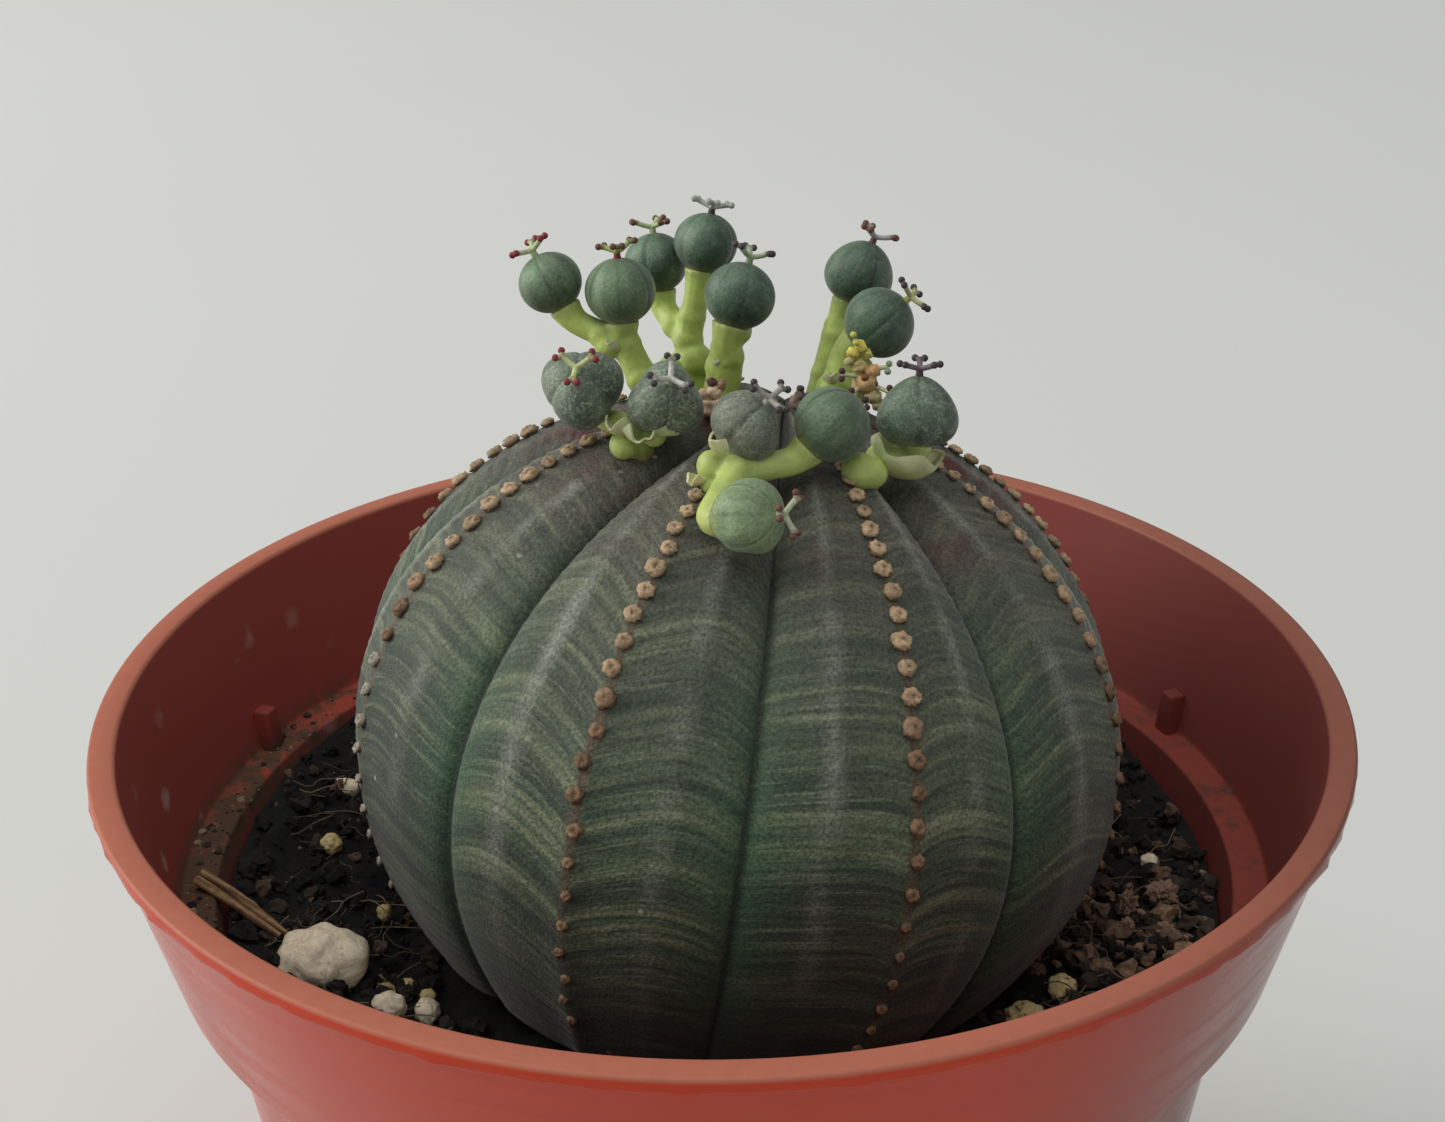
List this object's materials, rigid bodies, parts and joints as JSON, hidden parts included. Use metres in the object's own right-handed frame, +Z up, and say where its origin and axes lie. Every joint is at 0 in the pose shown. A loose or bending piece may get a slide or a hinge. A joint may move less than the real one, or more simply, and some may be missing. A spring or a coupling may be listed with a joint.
{
  "type": "potted baseball plant",
  "caption": "Ball-shaped ribbed succulent with stalked seed capsules on its crown, growing in gritty soil in a round plastic nursery pot.",
  "frame": {"origin": "on the ground under the centre of the pot", "axes": "+Z up the pot's axis, -Y towards the front, where the lowest seed capsule hangs, +X to the right seen from the front"},
  "size_m": [0.12, 0.12, 0.144],
  "materials": {
    "pot": "brick-red thin moulded plastic, glossy outside and satin on the lip",
    "soil": "dark, loose and fibrous potting soil",
    "plant_skin": "matte grey-green living skin with fine cross bands",
    "stalk": "fleshy yellow-green, slightly translucent",
    "capsule": "dark blue-green with a pale bloom",
    "style": "thin dry arms, pale green with dark tips",
    "dried": "dry tan plant matter",
    "pumice": "rough off-white pumice",
    "sand_stone": "rough yellow grit",
    "gravel": "rough brown clods of bark and earth"
  },
  "bodies": {
    "root": {"pot": "pot", "soil": "soil", "twig": "dried", "pumice_large": "pumice", "pebble_01": "pumice", "pebble_02": "pumice", "pebble_03": "sand_stone", "pebble_04": "sand_stone", "pebble_05": "sand_stone", "pebble_06": "sand_stone", "grit_01": "pumice", "grit_02": "sand_stone", "grit_03": "gravel", "chunk_01": "sand_stone", "chunk_02": "sand_stone", "gravel_01": "gravel", "gravel_02": "gravel", "gravel_03": "gravel", "gravel_04": "gravel", "gravel_05": "gravel", "gravel_06": "gravel", "gravel_07": "pumice", "plant_body": "plant_skin", "stalk_back_left": "stalk", "stalk_back_middle": "stalk", "stalk_back_centre": "stalk", "stalk_back_right": "stalk", "stalk_right": "stalk", "stalk_front_left": "stalk", "stalk_front": "stalk", "stalk_front_right": "stalk", "capsule_10": "capsule", "style_10": "style", "capsule_11": "capsule", "capsule_12": "capsule", "style_12": "style", "capsule_13": "capsule", "style_13": "style", "capsule_01": "capsule", "style_01": "style", "capsule_02": "capsule", "style_02": "style", "capsule_03": "capsule", "style_03": "style", "capsule_04": "capsule", "style_04": "style", "capsule_05": "capsule", "style_05": "style", "capsule_06": "capsule", "style_06": "style", "capsule_07": "capsule", "style_07": "style", "capsule_08": "capsule", "style_08": "style", "capsule_09": "capsule", "style_09": "style", "dried_flower": "dried", "dried_stump_left": "dried", "dried_stump_right": "dried"}
  },
  "joints": []
}
